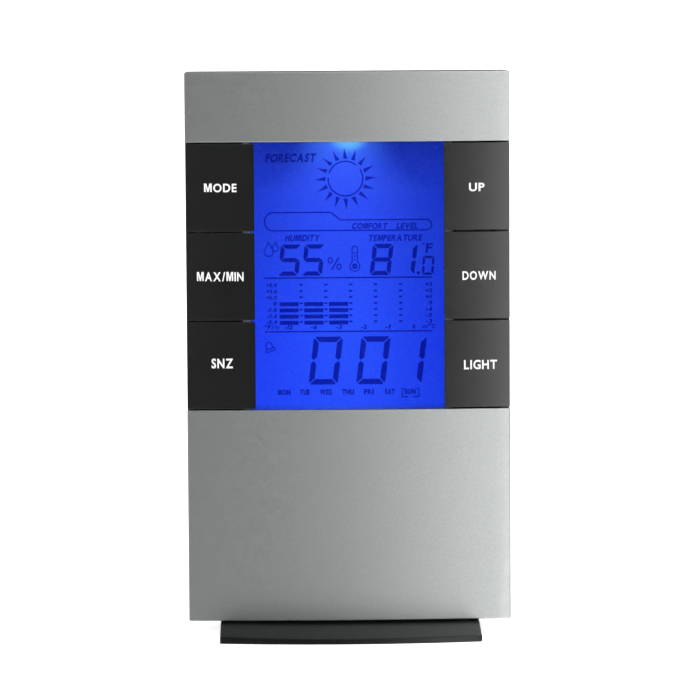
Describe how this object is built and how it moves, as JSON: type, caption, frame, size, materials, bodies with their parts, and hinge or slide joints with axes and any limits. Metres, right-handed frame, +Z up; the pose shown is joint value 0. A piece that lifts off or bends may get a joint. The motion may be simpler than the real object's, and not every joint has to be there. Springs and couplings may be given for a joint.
{
  "type": "desktop weather station",
  "caption": "Slim upright desktop weather station: bowed silver front, blue-lit display between columns of black press keys, black rear case and a flat black foot.",
  "frame": {"origin": "on the table under the middle of the object's bounding box", "axes": "+Z up, the display looks along -Y, +X is to the right of someone who reads it"},
  "size_m": [0.077, 0.037, 0.1345],
  "materials": {
    "silver_paint": "ABS with a fine-grained metallic silver spray coat, satin",
    "black_plastic": "black ABS, fine spark-eroded texture",
    "key_plastic": "black ABS with a soft satin coat, white printed legends",
    "clear_lens": "clear polished acrylic window",
    "display_glass": "liquid crystal glass, blue when lit",
    "polariser_film": "blue polariser film",
    "light_guide_acrylic": "clear acrylic light guide, satin back",
    "white_plastic": "white ABS and white film",
    "zebra_rubber": "silicone with carbon stripes",
    "blue_led": "tinted epoxy lamp, emits blue",
    "green_board": "glass-epoxy board with green solder mask",
    "black_epoxy": "moulded black epoxy",
    "plated_steel": "nickel or zinc plated steel",
    "cell_sleeve": "printed cell sleeve over a metal can",
    "red_insulation": "red PVC insulation",
    "black_insulation": "black PVC insulation"
  },
  "bodies": {
    "case": {"front_shell": "silver_paint", "rear_cover": "black_plastic", "foot_plate": "black_plastic", "display_lens": "clear_lens", "lcd_holder": "white_plastic", "lcd_front_polariser": "polariser_film", "lcd_front_glass": "display_glass", "lcd_rear_glass": "display_glass", "lcd_rear_polariser": "polariser_film", "light_guide": "light_guide_acrylic", "reflector_sheet": "white_plastic", "zebra_strip": "zebra_rubber", "backlight_led": "blue_led", "circuit_board": "green_board", "controller_blob": "black_epoxy", "crystal_can": "plated_steel", "capacitor": "black_epoxy", "buzzer": "black_epoxy", "humidity_sensor": "white_plastic", "temperature_sensor": "black_epoxy", "battery_upper": "cell_sleeve", "battery_lower": "cell_sleeve", "positive_contact": "plated_steel", "negative_contact": "plated_steel", "link_contact": "plated_steel", "link_spring": "plated_steel", "negative_spring": "plated_steel", "wire_red": "red_insulation", "wire_black": "black_insulation", "case_screw_1": "plated_steel", "board_screw_1": "plated_steel", "case_screw_2": "plated_steel", "board_screw_2": "plated_steel", "case_screw_3": "plated_steel", "board_screw_3": "plated_steel", "case_screw_4": "plated_steel", "board_screw_4": "plated_steel", "foot_screw_1": "plated_steel", "foot_screw_2": "plated_steel", "switch_body_mode": "black_epoxy", "switch_body_max_min": "black_epoxy", "switch_body_snooze": "black_epoxy", "switch_body_up": "black_epoxy", "switch_body_down": "black_epoxy", "switch_body_light": "black_epoxy"},
    "button_mode": {"key_mode": "key_plastic", "switch_plunger_mode": "white_plastic"},
    "button_max_min": {"key_max_min": "key_plastic", "switch_plunger_max_min": "white_plastic"},
    "button_snooze": {"key_snooze": "key_plastic", "switch_plunger_snooze": "white_plastic"},
    "button_up": {"key_up": "key_plastic", "switch_plunger_up": "white_plastic"},
    "button_down": {"key_down": "key_plastic", "switch_plunger_down": "white_plastic"},
    "button_light": {"key_light": "key_plastic", "switch_plunger_light": "white_plastic"},
    "battery_door": {"battery_door": "black_plastic"}
  },
  "joints": [
    {"name": "press_mode", "type": "slide", "parent": "case", "child": "button_mode", "axis": [0, 1, 0], "range_m": [0, 0.0004], "stiffness_N_per_m": 1000, "springref_m": -0.0006},
    {"name": "press_max_min", "type": "slide", "parent": "case", "child": "button_max_min", "axis": [0, 1, 0], "range_m": [0, 0.0004], "stiffness_N_per_m": 1000, "springref_m": -0.0006},
    {"name": "press_snooze", "type": "slide", "parent": "case", "child": "button_snooze", "axis": [0, 1, 0], "range_m": [0, 0.0004], "stiffness_N_per_m": 1000, "springref_m": -0.0006},
    {"name": "press_up", "type": "slide", "parent": "case", "child": "button_up", "axis": [0, 1, 0], "range_m": [0, 0.0004], "stiffness_N_per_m": 1000, "springref_m": -0.0006},
    {"name": "press_down", "type": "slide", "parent": "case", "child": "button_down", "axis": [0, 1, 0], "range_m": [0, 0.0004], "stiffness_N_per_m": 1000, "springref_m": -0.0006},
    {"name": "press_light", "type": "slide", "parent": "case", "child": "button_light", "axis": [0, 1, 0], "range_m": [0, 0.0004], "stiffness_N_per_m": 1000, "springref_m": -0.0006},
    {"name": "door_hinge", "type": "hinge", "parent": "case", "child": "battery_door", "pos_m": [0, 0.0171, 0.0159], "axis": [-1, 0, 0], "range_deg": [0, 95]}
  ]
}
